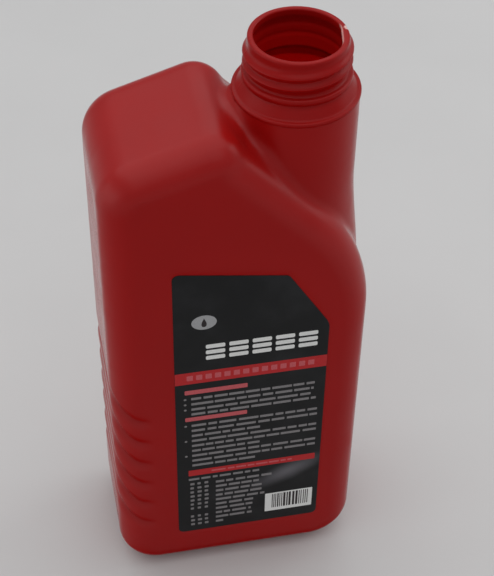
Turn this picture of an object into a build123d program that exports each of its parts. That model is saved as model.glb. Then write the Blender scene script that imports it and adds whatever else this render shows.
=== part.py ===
"""Plastic jerrycan for about one litre of oil, with its cap off.

The can is blown in one piece, with a thin wall: a flat rounded body, a top that
rises to a soft peak, a long slope beside it, and a round tower that carries the
threaded neck. A printed film label is moulded into the front.

Millimetres, +Z up. X runs along the wide faces and Y through them, with the label
at the front, towards -Y. The origin is at the middle of the base, on the surface
that the can stands on.
"""
from build123d import *
from math import cos, radians, sin, sqrt, tan
import os

# Body
HEIGHT = 252.0              # standing height, at the lip
BODY_WIDTH = 101.6          # over the two narrow sides
BODY_DEPTH = 61.0           # over the two wide faces
HALF_W = BODY_WIDTH / 2
HALF_D = BODY_DEPTH / 2
WALL = 1.0                  # blown wall
EDGE_ROUND = 11.5           # round of the wide faces into their whole outline
BASE_CORNER_LEFT = 17.0     # round of the narrow sides into the base
BASE_CORNER_RIGHT = 19.0
RIM_BANDS = 3               # flat bands that follow the edge round on the inside

# Neck finish for a 38 mm screw cap, measured in from the tower and down from the lip
TOWER_SETBACK = 8.0         # of the tower's wall from the wide faces
TOWER_RADIUS = HALF_D - TOWER_SETBACK
LIP_SETBACK = 4.8           # of the neck's wall from the tower's
LIP_RADIUS = TOWER_RADIUS - LIP_SETBACK
LIP_WALL = 2.1
LIP_ROUND = 0.6             # width of the broken outer edge
BORE_RADIUS = LIP_RADIUS - LIP_WALL
BORE_LENGTH = 5.0           # true bore, down from the lip
BEAD_PROUD = 1.7
BEAD_RADIUS = LIP_RADIUS + BEAD_PROUD
BEAD_DROP = 13.8            # from the lip to the top of the bead under the thread
BEAD_TOP = HEIGHT - BEAD_DROP
BEAD_THICK = 2.4
COLLAR_HEIGHT = 4.9         # from the ring up to the bead
COLLAR_SETBACK = 0.9        # of the collar's foot from the tower's wall
COLLAR_RADIUS = TOWER_RADIUS - COLLAR_SETBACK
RING_HEIGHT = BEAD_TOP - BEAD_THICK - COLLAR_HEIGHT     # top of the ring round the tower's edge
RING_THICK = 1.8
RING_PROUD = 0.35           # how far the ring stands out from the tower
THREAD_PROUD = 1.35
THREAD_RADIUS = LIP_RADIUS + THREAD_PROUD
THREAD_PITCH = 4.23
THREAD_TURNS = 2.05
THREAD_RISE = 1.4           # from the bead to the middle of the thread's lower end
THREAD_START = BEAD_TOP + THREAD_RISE
THREAD_START_TURN = 30.0    # degrees from +X to the lower end
THREAD_ROOT_WIDTH = 3.0
THREAD_CREST_WIDTH = 1.1
THREAD_RUNOUT = 0.9         # eccentricity of the cut that thins both ends
THROAT_STEP = 0.7           # the throat is wider than the bore by this
THROAT_RADIUS = BORE_RADIUS + THROAT_STEP
THROAT_RINGS = 2            # shallow hollows behind the thread
THROAT_RING_DEPTH = 0.5
THROAT_RING_HALF = 1.2      # half the height of one

# Mark that the trimming knife left on the lip
FLASH_ANGLE = -10.0         # degrees from +X
FLASH_DEPTH = 0.8           # how far it stands into the bore
FLASH_CHORD = BORE_RADIUS - FLASH_DEPTH
FLASH_THICK = 1.0
NICK_ANGLE = 4.0            # small chip in the outer edge
NICK_SIZE = 1.5

# Tower that carries the neck
SKIRT_SPREAD = 3.9          # how much wider its foot is
SKIRT_RADIUS = TOWER_RADIUS + SKIRT_SPREAD
SKIRT_CLEARANCE = 0.2       # of its foot from the right side
NECK_X = HALF_W - SKIRT_RADIUS - SKIRT_CLEARANCE        # axis of the tower and the neck
TOWER_FILLET = 6.0          # hollow round where the tower leaves the shoulder

# Shoulder, along the front outline
PEAK_DROP = 20.52           # from the lip to the sharp corner of the peak, before its round
PEAK_HEIGHT = HEIGHT - PEAK_DROP
PEAK_GAP = 6.1              # from the same corner to the tower
PEAK_X = NECK_X - TOWER_RADIUS - PEAK_GAP
PEAK_ROUND = 12.0
TOP_RISE = 18.0             # degrees that the top rises towards the peak
TOP_LEFT_HEIGHT = PEAK_HEIGHT - (PEAK_X + HALF_W) * tan(radians(TOP_RISE))
TOP_CORNER = 15.5           # round of the left side into the top
STEEP_SLOPE = 57.0          # degrees below the level, just after the peak
STEEP_RUN = 6.8             # level length of the steep slope
STEEP_END_X = PEAK_X + STEEP_RUN
BEND_HEIGHT = PEAK_HEIGHT - STEEP_RUN * tan(radians(STEEP_SLOPE))
LONG_SLOPE = 46.5           # degrees below the level, down to the right side
SLOPE_BLEND = 22.0          # hollow round between the two slopes
HIP_HEIGHT = BEND_HEIGHT - (HALF_W - STEEP_END_X) * tan(radians(LONG_SLOPE))
HIP_ROUND = 76.0            # round of the long slope into the right side
HIP_FOOT = HIP_HEIGHT - HIP_ROUND * tan(radians(45 - LONG_SLOPE / 2))

# Skirt of the tower, which widens in an S down to its foot
TOWER_STRAIGHT = 34.9       # from the ring down to where the tower starts to widen
SKIRT_TOP = RING_HEIGHT - TOWER_STRAIGHT
SKIRT_RAISE = 6.3           # of its foot above the foot of the hip
SKIRT_FOOT = HIP_FOOT + SKIRT_RAISE
SKIRT_SINK = 8.0            # how far it runs on straight inside the body

# Finger grip on the left side: grooves between rounded ribs
GRIP_TOP = 107.0            # height of the top groove, on the side
GRIP_PITCH = 12.95
GRIP_COUNT = 6
GRIP_DEPTH = 1.3
GRIP_GAP = 0.3              # between one groove's cutter and the next, over the crests
GRIP_PROUD = 0.04           # rise of the ribs' crests over the side
GRIP_REACH = 16.3           # how far the grooves run from the side over the wide faces
GRIP_END_X = GRIP_REACH - HALF_W
GRIP_THINNING = 0.3         # how much thinner the wall is behind a groove
GRIP_INNER_ROUND = 13.0     # corners of the room behind the grip

# Base
PUSH_UP = 2.6               # hollow under the base
PUSH_UP_END = 22.8          # from the hollow to the narrow sides
PUSH_UP_SIDE = 17.0         # from the hollow to the wide faces
PUSH_UP_LENGTH = BODY_WIDTH - 2 * PUSH_UP_END
PUSH_UP_WIDTH = BODY_DEPTH - 2 * PUSH_UP_SIDE
PUSH_UP_CORNER = 8.0
PUSH_UP_ROUND = 2.5
PINCH_SHORT = 14.0          # how much shorter than the hollow the weld line is
PINCH_LENGTH = PUSH_UP_LENGTH - PINCH_SHORT
PINCH_WIDTH = 1.0
PINCH_HEIGHT = 0.8

# Film label
LABEL_INSET_LEFT = 24.5     # from the narrow sides
LABEL_INSET_RIGHT = 16.8
LABEL_LEFT = LABEL_INSET_LEFT - HALF_W
LABEL_RIGHT = HALF_W - LABEL_INSET_RIGHT
LABEL_BOTTOM = 22.0
LABEL_DROP = 56.28          # of its top left corner below the peak
LABEL_TOP = PEAK_HEIGHT - LABEL_DROP
LABEL_TOP_FALL = 9.6        # degrees that the top edge falls to the right
LABEL_CUT_RUN = 16.7        # level length of the cut corner
LABEL_CUT_X = LABEL_RIGHT - LABEL_CUT_RUN
LABEL_CUT_DROP = 35.2       # from the top left corner to the foot of the cut
LABEL_CUT_HEIGHT = LABEL_TOP - LABEL_CUT_DROP
LABEL_CORNER = 2.5
LABEL_CUT_ROUND = 9.0
LABEL_THICK = 0.15


def fall(z, run, slope):
    """Height reached from z after a level run down a slope in degrees."""
    return z - run * tan(radians(slope))


def front_outline(inset):
    """Face of the body's outline in the XZ plane, with all sides moved in by inset."""
    corners = [
        ((-HALF_W, 0), BASE_CORNER_LEFT),
        ((HALF_W, 0), BASE_CORNER_RIGHT),
        ((HALF_W, HIP_HEIGHT), HIP_ROUND),
        ((STEEP_END_X, BEND_HEIGHT), SLOPE_BLEND),
        ((PEAK_X, PEAK_HEIGHT), PEAK_ROUND),
        ((-HALF_W, TOP_LEFT_HEIGHT), TOP_CORNER),
    ]
    points, rounds = zip(*corners)
    with BuildSketch(Plane.XZ) as sketch:
        with BuildLine():
            FilletPolyline(*points, radius=rounds, close=True)
        make_face()
    return offset(sketch.sketch, amount=-inset) if inset else sketch.sketch


def body_form():
    """Body without its tower: the outline drawn through, with its rims rounded."""
    block = extrude(front_outline(0), amount=HALF_D, both=True)
    rims = [edge for edge in block.edges() if abs(abs(edge.center().Y) - HALF_D) < 0.001]
    return fillet(rims, EDGE_ROUND)


def body_room():
    """Room inside the body: the same form set in by the wall, its rims in flat bands."""
    radius = EDGE_ROUND - WALL
    room = extrude(front_outline(WALL), amount=HALF_D - EDGE_ROUND, both=True)
    step = 90 / RIM_BANDS
    for k in range(RIM_BANDS):
        low, high = radians(k * step), radians((k + 1) * step)
        start = front_outline(WALL + radius * (1 - cos(low)))
        end = front_outline(WALL + radius * (1 - cos(high)))
        near, far = (HALF_D - EDGE_ROUND + radius * sin(a) for a in (low, high))
        band = loft([Pos(0, -near, 0) * start, Pos(0, -far, 0) * end], ruled=True)
        room += [band, mirror(band, Plane.XZ)]
    return room


def tower_form():
    """Round tower whose lower part widens in an S to the width of the body."""
    middle = ((SKIRT_RADIUS + TOWER_RADIUS) / 2, (SKIRT_FOOT + SKIRT_TOP) / 2)
    low, high = SKIRT_FOOT - SKIRT_SINK, RING_HEIGHT - RING_THICK / 2
    with BuildSketch(Plane.XZ) as sketch:
        with BuildLine():
            Polyline((0, high), (0, low), (SKIRT_RADIUS, low), (SKIRT_RADIUS, SKIRT_FOOT))
            spread = TangentArc((SKIRT_RADIUS, SKIRT_FOOT), middle, tangent=(0, 1))
            TangentArc(middle, (TOWER_RADIUS, SKIRT_TOP), tangent=spread % 1)
            Polyline((TOWER_RADIUS, SKIRT_TOP), (TOWER_RADIUS, high), (0, high))
        make_face()
    return Pos(NECK_X, 0, 0) * revolve(sketch.sketch, Axis.Z)


def tower_room():
    """Room inside the tower, which widens in one cone."""
    foot, top = SKIRT_RADIUS - WALL, TOWER_RADIUS - WALL
    high = RING_HEIGHT - WALL - RING_THICK / 2
    bend = (SKIRT_FOOT + SKIRT_TOP) / 2
    half = (SKIRT_TOP - SKIRT_FOOT) / 4
    low = SKIRT_FOOT - SKIRT_SINK
    points = [(0, high), (0, low), (foot, low), (foot, bend - half), (top, bend + half), (top, high)]
    with BuildSketch(Plane.XZ) as sketch:
        with BuildLine():
            Polyline(*points, close=True)
        make_face()
    return Pos(NECK_X, 0, 0) * revolve(sketch.sketch, Axis.Z)


def blown_form():
    """Body and tower in one, with the hollow round between them."""
    body, tower = body_form(), tower_form()
    joined = body + tower
    return fillet(new_edges(body, tower, combined=joined), TOWER_FILLET)


def grip_stations():
    """Places round the front corner where a groove's section stands, from the side to its front end.

    Each is (x, y, direction outwards in degrees from -X, droop, lift off the surface).
    """
    corner_x, corner_y = -HALF_W + EDGE_ROUND, HALF_D - EDGE_ROUND
    stations = []
    for angle, droop, lift in ((0, 0.0, 0.0), (26, 1.5, 0.02), (52, 5.9, 0.08), (78, 9.4, 0.3)):
        out = radians(angle)
        x, y = corner_x - EDGE_ROUND * cos(out), corner_y + EDGE_ROUND * sin(out)
        stations.append((x, y, angle, droop, lift * GRIP_DEPTH))
    for run, droop, lift in ((0.4, 10.6, 0.7), (1.0, 11.6, 1.15)):
        stations.append((corner_x + run * (GRIP_END_X - corner_x), HALF_D, 90, droop, lift * GRIP_DEPTH))
    return stations


def groove_section(x, y, angle, droop, lift):
    """Section of one groove: the gap between two rounded ribs that stand side by side."""
    half = GRIP_PITCH / 2
    rib = (half**2 + GRIP_DEPTH**2) / (2 * GRIP_DEPTH)
    low = GRIP_PROUD - rib
    edge = half - GRIP_GAP / 2
    crest = (edge, low + sqrt(rib**2 - (half - edge) ** 2))
    between = (half / 2, low + sqrt(rib**2 - (half / 2) ** 2))
    valley = (0, low + sqrt(rib**2 - half**2))
    lid = 2 * GRIP_DEPTH
    out = radians(angle)
    origin = (x - lift * cos(out), -y - lift * sin(out), GRIP_TOP - droop)
    plane = Plane(origin=origin, x_dir=(0, 0, 1), z_dir=(sin(out), -cos(out), 0))
    with BuildSketch(plane) as sketch:
        with BuildLine():
            ThreePointArc(crest, between, valley)
            ThreePointArc(valley, (-between[0], between[1]), (-crest[0], crest[1]))
            Polyline((-crest[0], crest[1]), (-edge, lid), (edge, lid), crest)
        make_face()
    return sketch.sketch


def grip_tools():
    """Cutters of all the grooves, down the left side and round both of its corners."""
    sections = [groove_section(*station) for station in grip_stations()]
    front = loft(sections)
    side = extrude(sections[0], amount=-2 * (HALF_D - EDGE_ROUND))
    tool = [front, side, mirror(front, Plane.XZ)]
    return [Pos(0, 0, -k * GRIP_PITCH) * piece for k in range(GRIP_COUNT) for piece in tool]


def grip_recess():
    """Cutter that keeps a wall behind the grooves: the room inside stands back from them."""
    top = GRIP_TOP + GRIP_PITCH / 2
    low = GRIP_TOP - GRIP_COUNT * GRIP_PITCH - GRIP_PITCH / 2
    side_x = -HALF_W + WALL + GRIP_DEPTH - GRIP_THINNING
    block = Pos(side_x + GRIP_INNER_ROUND, 0, (low + top) / 2) * Box(
        30, BODY_DEPTH, top - low, align=(Align.MAX, Align.CENTER, Align.CENTER))
    length = 60.0
    room = extrude(RectangleRounded(length, BODY_DEPTH - 2 * WALL, GRIP_INNER_ROUND), BODY_WIDTH * 2)
    return block - Pos(side_x + length / 2, 0, 0) * room


def push_up(inset):
    """Raised pad that makes the hollow under the base."""
    length, width = PUSH_UP_LENGTH + 2 * inset, PUSH_UP_WIDTH + 2 * inset
    pad = extrude(RectangleRounded(length, width, PUSH_UP_CORNER + inset), PUSH_UP + inset)
    return pad if inset else fillet(pad.edges().group_by(Axis.Z)[-1], PUSH_UP_ROUND)


def neck_solid():
    """Outside of the neck finish above the tower: ring, collar, bead and lip."""
    ring_low = RING_HEIGHT - RING_THICK
    bead_low = BEAD_TOP - BEAD_THICK
    points = [
        (0, ring_low - 4),
        (TOWER_RADIUS - WALL / 2, ring_low - 4),
        (TOWER_RADIUS - WALL / 2, ring_low),
        (TOWER_RADIUS + RING_PROUD, ring_low),
        (TOWER_RADIUS + RING_PROUD, RING_HEIGHT),
        (COLLAR_RADIUS, RING_HEIGHT),
        (LIP_RADIUS + 0.9, bead_low),
        (BEAD_RADIUS, bead_low),
        (BEAD_RADIUS, BEAD_TOP),
        (LIP_RADIUS, BEAD_TOP),
        (LIP_RADIUS, HEIGHT - LIP_ROUND),
        (LIP_RADIUS - 0.3 * LIP_ROUND, HEIGHT - 0.3 * LIP_ROUND),
        (LIP_RADIUS - LIP_ROUND, HEIGHT),
        (0, HEIGHT),
    ]
    with BuildSketch(Plane.XZ) as sketch:
        with BuildLine():
            Polyline(*points, close=True)
        make_face()
    return Pos(NECK_X, 0, 0) * revolve(sketch.sketch, Axis.Z)


def helix(radius, turns):
    """Right-handed line of the thread at a radius about the neck's axis."""
    line = Helix(THREAD_PITCH, THREAD_PITCH * turns, radius)
    return Pos(NECK_X, 0, THREAD_START) * Rot(0, 0, THREAD_START_TURN) * line


def thread():
    """Cap thread, which thins out to nothing at both ends."""
    path = helix(LIP_RADIUS, THREAD_TURNS)
    radial = Vector((path @ 0).X - NECK_X, (path @ 0).Y, 0)
    across = Plane(origin=path @ 0, x_dir=radial, z_dir=path % 0)
    height = THREAD_RADIUS - LIP_RADIUS
    root, crest = THREAD_ROOT_WIDTH / 2, THREAD_CREST_WIDTH / 2
    with BuildSketch(across) as sketch:
        with BuildLine():
            Polyline(
                (-0.4, -root), (0, -root), (height, -crest),
                (height, crest), (0, root), (-0.4, root), close=True)
        make_face()
    ridge = sweep(sketch.sketch, path=path, is_frenet=True)
    turn = radians(THREAD_START_TURN + 10)
    off = (NECK_X - THREAD_RUNOUT * cos(turn), -THREAD_RUNOUT * sin(turn))
    low, high = THREAD_START + 2.75, THREAD_START + THREAD_PITCH * THREAD_TURNS - 2.8
    for z, up in ((low, False), (high, True)):
        align = (Align.CENTER, Align.CENTER, Align.MIN if up else Align.MAX)
        around = Pos(NECK_X, 0, z) * Cylinder(THREAD_RADIUS + 2, 8, align=align)
        kept = Pos(*off, z) * Cylinder(THREAD_RADIUS - THREAD_RUNOUT / 2, 8, align=align)
        ridge -= around - kept
    return ridge


def neck_hollow():
    """Room inside the neck: true bore, throat with rings behind the thread, and the way into the tower."""
    points = [
        (0, RING_HEIGHT - 6),
        (TOWER_RADIUS - WALL, RING_HEIGHT - 6),
        (TOWER_RADIUS - WALL, RING_HEIGHT - WALL - 0.6),
        (THROAT_RADIUS, BEAD_TOP - BEAD_THICK + 0.4),
    ]
    for k in range(THROAT_RINGS):
        middle = THREAD_START + (k + 0.5) * THREAD_PITCH
        for rise, depth in ((-THROAT_RING_HALF, 0), (0, THROAT_RING_DEPTH), (THROAT_RING_HALF, 0)):
            points.append((THROAT_RADIUS + depth, middle + rise))
    points += [
        (THROAT_RADIUS, HEIGHT - BORE_LENGTH - 0.6),
        (BORE_RADIUS, HEIGHT - BORE_LENGTH),
        (BORE_RADIUS, HEIGHT + 1),
        (0, HEIGHT + 1),
    ]
    with BuildSketch(Plane.XZ) as sketch:
        with BuildLine():
            Polyline(*points, close=True)
        make_face()
    return Pos(NECK_X, 0, 0) * revolve(sketch.sketch, Axis.Z)


def lip_flash():
    """Straight-edged sliver inside the lip, left where the neck was trimmed."""
    disc = Cylinder(BORE_RADIUS + 0.3, FLASH_THICK, align=(Align.CENTER, Align.CENTER, Align.MAX))
    kept = Pos(FLASH_CHORD, 0, 0) * Box(10, 40, 10, align=(Align.MIN, Align.CENTER, Align.CENTER))
    return Pos(NECK_X, 0, HEIGHT) * Rot(0, 0, FLASH_ANGLE) * (disc & kept)


def lip_nick():
    """Small chip in the outer edge of the lip."""
    bite = Rot(0, 45, 0) * Box(NICK_SIZE, NICK_SIZE, NICK_SIZE)
    return Pos(NECK_X, 0, HEIGHT) * Rot(0, 0, NICK_ANGLE) * Pos(LIP_RADIUS - NICK_SIZE / 4, 0, 0) * bite


def label_form():
    """Film label, its outer face level with the front of the can."""
    run = LABEL_CUT_X - LABEL_LEFT
    points = [
        (LABEL_LEFT, LABEL_BOTTOM),
        (LABEL_RIGHT, LABEL_BOTTOM),
        (LABEL_RIGHT, LABEL_CUT_HEIGHT),
        (LABEL_CUT_X, fall(LABEL_TOP, run, LABEL_TOP_FALL)),
        (LABEL_LEFT, LABEL_TOP),
    ]
    rounds = [LABEL_CORNER, LABEL_CORNER, LABEL_CUT_ROUND, LABEL_CORNER, LABEL_CORNER]
    with BuildSketch(Plane.XZ) as sketch:
        with BuildLine():
            FilletPolyline(*points, radius=rounds, close=True)
        make_face()
    return Pos(0, -HALF_D, 0) * extrude(sketch.sketch, -LABEL_THICK)


def bottle_form(label):
    """The whole blown can, hollow, with the seat of the label pressed into it."""
    shell = blown_form() - grip_tools() - push_up(0)
    room = body_room() + tower_room() - grip_recess() - push_up(WALL)
    neck = neck_solid() + thread()
    pinch = Box(PINCH_LENGTH, PINCH_WIDTH, PINCH_HEIGHT, align=(Align.CENTER, Align.CENTER, Align.MAX))
    bottle = shell + neck - room - neck_hollow()
    bottle += Pos(0, 0, PUSH_UP) * pinch
    bottle += lip_flash()
    bottle -= lip_nick()
    return bottle - label


def main():
    """Build the can and its label and write one STEP file for each."""
    label = label_form()
    parts = {"bottle": bottle_form(label), "label": label}
    os.makedirs("parts", exist_ok=True)
    for name, part in parts.items():
        print(name, round(part.volume / 1000, 2), "cm3, valid", part.is_valid, len(part.solids()), "solids")
        export_step(part, f"parts/{name}.step")


main()
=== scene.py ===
"""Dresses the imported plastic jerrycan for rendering.

The blown can is meshed again from its own distance field, so that its broad rounds,
its finger ribs and its screw neck run into each other as blown plastic does. The film
label and its inks are thin layers that lie in a shallow seat in the front.

Forms are worked out in millimetres and written to Blender in metres.
"""
import logging
import math
import random
from dataclasses import dataclass, field
from enum import Enum
from typing import Callable, Iterable, Sequence

import bpy
import numpy as np
from mathutils import Matrix, Vector


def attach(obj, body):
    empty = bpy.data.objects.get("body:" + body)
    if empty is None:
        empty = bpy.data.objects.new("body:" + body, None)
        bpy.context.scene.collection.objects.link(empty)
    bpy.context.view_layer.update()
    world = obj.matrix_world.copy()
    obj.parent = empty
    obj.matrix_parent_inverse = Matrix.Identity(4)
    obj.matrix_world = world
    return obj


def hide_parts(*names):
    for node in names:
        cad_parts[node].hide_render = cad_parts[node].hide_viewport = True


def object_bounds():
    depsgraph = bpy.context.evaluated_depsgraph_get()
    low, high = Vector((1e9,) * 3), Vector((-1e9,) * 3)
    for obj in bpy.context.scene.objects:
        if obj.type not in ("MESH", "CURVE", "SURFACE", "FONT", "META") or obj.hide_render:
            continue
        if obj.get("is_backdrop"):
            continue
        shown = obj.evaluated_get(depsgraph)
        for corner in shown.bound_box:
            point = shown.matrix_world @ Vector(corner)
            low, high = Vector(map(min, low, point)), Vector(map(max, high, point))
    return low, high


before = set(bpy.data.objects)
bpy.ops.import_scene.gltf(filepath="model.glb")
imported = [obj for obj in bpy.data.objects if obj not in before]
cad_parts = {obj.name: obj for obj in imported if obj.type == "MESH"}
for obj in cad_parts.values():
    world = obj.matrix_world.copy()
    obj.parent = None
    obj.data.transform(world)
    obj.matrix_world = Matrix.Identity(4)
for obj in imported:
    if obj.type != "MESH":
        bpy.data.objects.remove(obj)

LOG = logging.getLogger("jerrycan")
MM = 0.001
TINY = 1e-6
LEAST_REACH = 0.05      # shortest reach of a soft join
MIDDLING = (0.3, 0.7)   # values of the noise that most places lie between
GROOVE = "groove"       # point attribute: how deep the finger groove is, from 0 to 1
Array = np.ndarray
Curve = Callable[[Array], Array]
Field = Callable[[Array, Array, Array], Array]
Point = tuple[float, float]
Spot = tuple[float, float, float]
Colour = tuple[float, float, float, float]
Box = tuple[float, float, float, float]     # left, right, low and high
Piece = bpy.types.Object
Socket = bpy.types.NodeSocket


def soft_min(a: Array, b: Array, reach: float) -> Array:
    """Join two distances with a soft hollow where they meet.

    Args:
        a: distances to the first form.
        b: distances to the second form.
        reach: how far from the meeting line the hollow starts.

    Returns:
        Distances to both forms together.
    """
    share = np.clip(0.5 + 0.5 * (b - a) / reach, 0, 1)
    return b + (a - b) * share - reach * share * (1 - share)


def soft_max(a: Array, b: Array, reach: float) -> Array:
    """Cut one distance by another with a soft edge, as soft_min does for a union."""
    return -soft_min(-a, -b, reach)


def ease(value: Array) -> Array:
    """Step that starts and ends level, from 0 at 0 to 1 at 1."""
    part = np.clip(value, 0, 1)
    return part * part * (3 - 2 * part)


def softened(stations: Sequence[float], values: Sequence[float], blur: float) -> Curve:
    """Curve through a few stations with its corners rounded off.

    Args:
        stations: rising places along the curve.
        values: value at each place.
        blur: half width of the round.

    Returns:
        Function that gives the curve's value at any place.
    """
    taps = 6
    places = np.arange(stations[0] - 3 * blur, stations[-1] + 3 * blur, blur / taps)
    plain = np.interp(places, stations, values)
    kernel = np.hanning(2 * taps + 3)[1:-1]
    smooth = np.convolve(np.pad(plain, taps, mode="edge"), kernel / kernel.sum(), mode="valid")
    return lambda at: np.interp(at, places, smooth)


def hollow_round(a: Array, b: Array, cosine: Array, radius: float) -> Array:
    """Union of two forms with a hollow round in the corner between them, at any angle.

    The hollow is as deep in the corner as a true round would be, and it vanishes where
    the two surfaces run into each other on their own.

    Args:
        a: distances to the first form.
        b: distances to the second form.
        cosine: cosine of the angle between the two forms' outward directions.
        radius: radius of the round.

    Returns:
        Distances to the joined form.
    """
    reach = 4 * radius * (1 - np.sqrt(np.clip((1 + cosine) / 2, 0, 1)))
    return soft_min(a, b, np.maximum(reach, LEAST_REACH))


def rounded(across: Array, up: Array, edge: float) -> Array:
    """Distance to a square form whose edge is rounded.

    Args:
        across: how far each place lies past the middle of the round, one way.
        up: how far it lies past the middle of the round, the other way.
        edge: radius of the round.

    Returns:
        Signed distances to the form.
    """
    inner = np.minimum(np.maximum(across, up), 0)
    return inner + np.hypot(np.maximum(across, 0), np.maximum(up, 0)) - edge


@dataclass
class Outline:
    """Closed outline in the XZ plane, anticlockwise, with a round at each corner."""

    corners: Sequence[tuple[float, float, float]]
    lines: list[tuple[Array, Array]] = field(default_factory=list)
    arcs: list[tuple[Array, float, float, Array, float]] = field(default_factory=list)

    def __post_init__(self) -> None:
        """Work out the straight sides and the arcs that join them."""
        points = [np.array(corner[:2], float) for corner in self.corners]
        count = len(points)
        ends = []
        for k, here in enumerate(points):
            radius = self.corners[k][2]
            back, ahead = points[k - 1] - here, points[(k + 1) % count] - here
            back, ahead = back / np.hypot(*back), ahead / np.hypot(*ahead)
            half = math.acos(float(back @ ahead)) / 2
            middle = (back + ahead) / np.hypot(*(back + ahead))
            centre = here + middle * radius / math.sin(half)
            turn = math.copysign(1.0, back[1] * ahead[0] - back[0] * ahead[1])
            reach = radius / math.tan(half)
            ends.append((here + back * reach, here + ahead * reach))
            self.arcs.append((centre, radius, turn, -middle, math.sin(half)))
        self.lines = [(ends[k][1], ends[(k + 1) % count][0]) for k in range(count)]

    def distance(self, x: Array, z: Array) -> tuple[Array, Array, Array]:
        """Signed distance to the outline and its outward direction.

        Args:
            x: places along X.
            z: places along Z, of a shape that fits x.

        Returns:
            Distance, negative inside, and the X and Z parts of the direction.
        """
        x, z = np.broadcast_arrays(x, z)
        best = np.full(x.shape, np.inf)
        signed, out_x, out_z = np.zeros(x.shape), np.zeros(x.shape), np.ones(x.shape)
        for start, end in self.lines:
            along = (end - start) / np.hypot(*(end - start))
            right = (along[1], -along[0])
            px, pz = x - start[0], z - start[1]
            run = np.clip(px * along[0] + pz * along[1], 0, np.hypot(*(end - start)))
            gap = np.hypot(px - run * along[0], pz - run * along[1])
            side = px * right[0] + pz * right[1]
            near = gap < best
            best = np.where(near, gap, best)
            signed = np.where(near, np.copysign(gap, side), signed)
            out_x, out_z = np.where(near, right[0], out_x), np.where(near, right[1], out_z)
        for centre, radius, turn, middle, spread in self.arcs:
            px, pz = x - centre[0], z - centre[1]
            away = np.maximum(np.hypot(px, pz), TINY)
            gap = np.abs(away - radius)
            near = (px * middle[0] + pz * middle[1] >= away * spread) & (gap < best)
            best = np.where(near, gap, best)
            signed = np.where(near, turn * (away - radius), signed)
            out_x = np.where(near, turn * px / away, out_x)
            out_z = np.where(near, turn * pz / away, out_z)
        return signed, out_x, out_z

    def trace(self, steps: int) -> list[Point]:
        """Points along the outline.

        Args:
            steps: parts that each round is divided into.

        Returns:
            The points in order, as (x, z).
        """
        points: list[Point] = []
        for centre, radius, turn, middle, spread in self.arcs:
            heading = math.atan2(middle[1], middle[0])
            half = math.acos(spread)
            for k in range(steps + 1):
                angle = heading + turn * half * (2 * k / steps - 1)
                step = (radius * math.cos(angle), radius * math.sin(angle))
                points.append((centre[0] + step[0], centre[1] + step[1]))
        return points


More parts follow.
